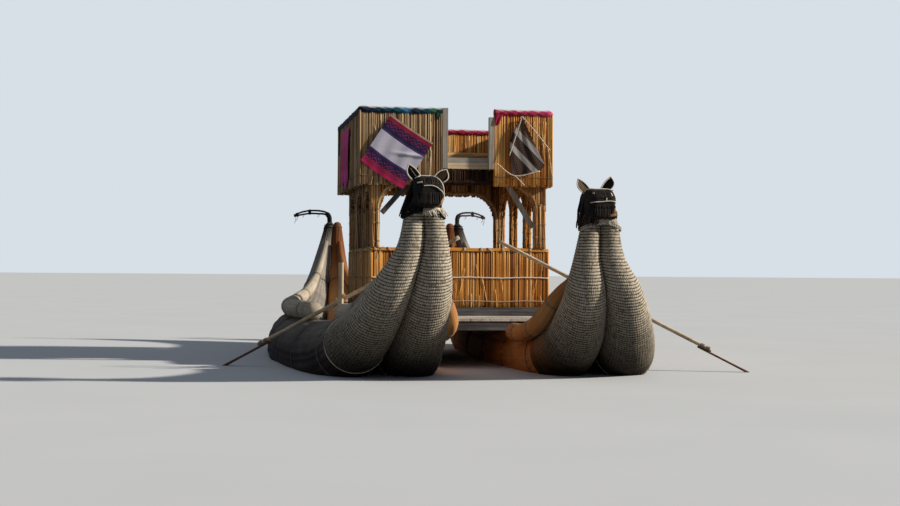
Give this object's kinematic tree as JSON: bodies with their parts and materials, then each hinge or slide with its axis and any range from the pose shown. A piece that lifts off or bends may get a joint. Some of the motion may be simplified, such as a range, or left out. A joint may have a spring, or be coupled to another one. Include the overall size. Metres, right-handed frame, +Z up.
{
  "type": "reed boat",
  "caption": "Double-hulled reed boat with puma-head prows, curled stern hooks, an open reed house with a gallery above it, and oars that swing between stakes.",
  "frame": {"origin": "on the centreline at the waterline, amidships", "axes": "+Z up, +Y aft with the prows at -Y, +X to port"},
  "size_m": [6.293, 9.0367, 3.2915],
  "materials": {
    "hull_reed": "weathered bundled reed",
    "house_reed": "dry golden reed",
    "dark_reed": "dark reed",
    "rope": "twisted grass rope",
    "plank_wood": "grey weathered plank",
    "pole_wood": "peeled pole",
    "blade_wood": "dark red-brown wood",
    "blue_wrap": "woven wrapping",
    "pink_wrap": "woven wrapping",
    "cloth": "striped handwoven cloth"
  },
  "bodies": {
    "boat": {"arcade_back": "house_reed", "arcade_front": "house_reed", "arcade_port": "house_reed", "arcade_stbd": "house_reed", "cloth_port": "cloth", "cloth_side": "cloth", "cloth_stbd": "cloth", "deck_beams": "plank_wood", "deck_planks_aft": "plank_wood", "deck_planks_fore": "plank_wood", "gallery_beams": "plank_wood", "gallery_bench": "house_reed", "gallery_floor": "plank_wood", "gap_posts": "plank_wood", "gunwale_inner_port": "hull_reed", "gunwale_inner_stbd": "hull_reed", "gunwale_outer_aft_port": "hull_reed", "gunwale_outer_aft_stbd": "hull_reed", "gunwale_outer_fore_port": "hull_reed", "gunwale_outer_fore_stbd": "hull_reed", "house_floor": "house_reed", "hull_inner_bundle_port": "hull_reed", "hull_inner_bundle_stbd": "hull_reed", "hull_outer_bundle_port": "hull_reed", "hull_outer_bundle_stbd": "hull_reed", "knee_braces": "plank_wood", "neck_collar_port": "rope", "neck_collar_stbd": "rope", "parapet_back": "house_reed", "parapet_front_port": "house_reed", "parapet_front_stbd": "house_reed", "parapet_port": "house_reed", "parapet_stbd": "house_reed", "puma_head_port": "dark_reed", "puma_head_stbd": "dark_reed", "rim_back": "pink_wrap", "rim_port": "pink_wrap", "rim_stbd": "blue_wrap", "stern_hook_port": "dark_reed", "stern_hook_stbd": "dark_reed", "thole_stakes_port": "pole_wood", "thole_stakes_stbd": "pole_wood", "wall_back": "house_reed", "wall_front": "house_reed", "wall_port": "house_reed", "wall_stbd": "house_reed"},
    "rowlock_stbd": {"rowlock_roll_stbd": "rope"},
    "oar_stbd": {"oar_shaft_stbd": "pole_wood", "oar_blade_stbd": "blade_wood"},
    "rowlock_port": {"rowlock_roll_port": "rope"},
    "oar_port": {"oar_shaft_port": "pole_wood", "oar_blade_port": "blade_wood"}
  },
  "joints": [
    {"name": "sweep_stbd", "type": "hinge", "parent": "boat", "child": "rowlock_stbd", "pos_m": [-1.42, -2.1, 0.74], "axis": [0, 0, 1], "range_deg": [-7, 63]},
    {"name": "dip_stbd", "type": "hinge", "parent": "rowlock_stbd", "child": "oar_stbd", "pos_m": [-1.42, -2.1, 0.74], "axis": [0.4695, 0.8829, 0], "range_deg": [0, 25]},
    {"name": "sweep_port", "type": "hinge", "parent": "boat", "child": "rowlock_port", "pos_m": [1.42, -2.1, 0.86], "axis": [0, 0, 1], "range_deg": [-5, 65]},
    {"name": "dip_port", "type": "hinge", "parent": "rowlock_port", "child": "oar_port", "pos_m": [1.42, -2.1, 0.86], "axis": [-0.5, -0.866, 0], "range_deg": [0, 25]}
  ]
}
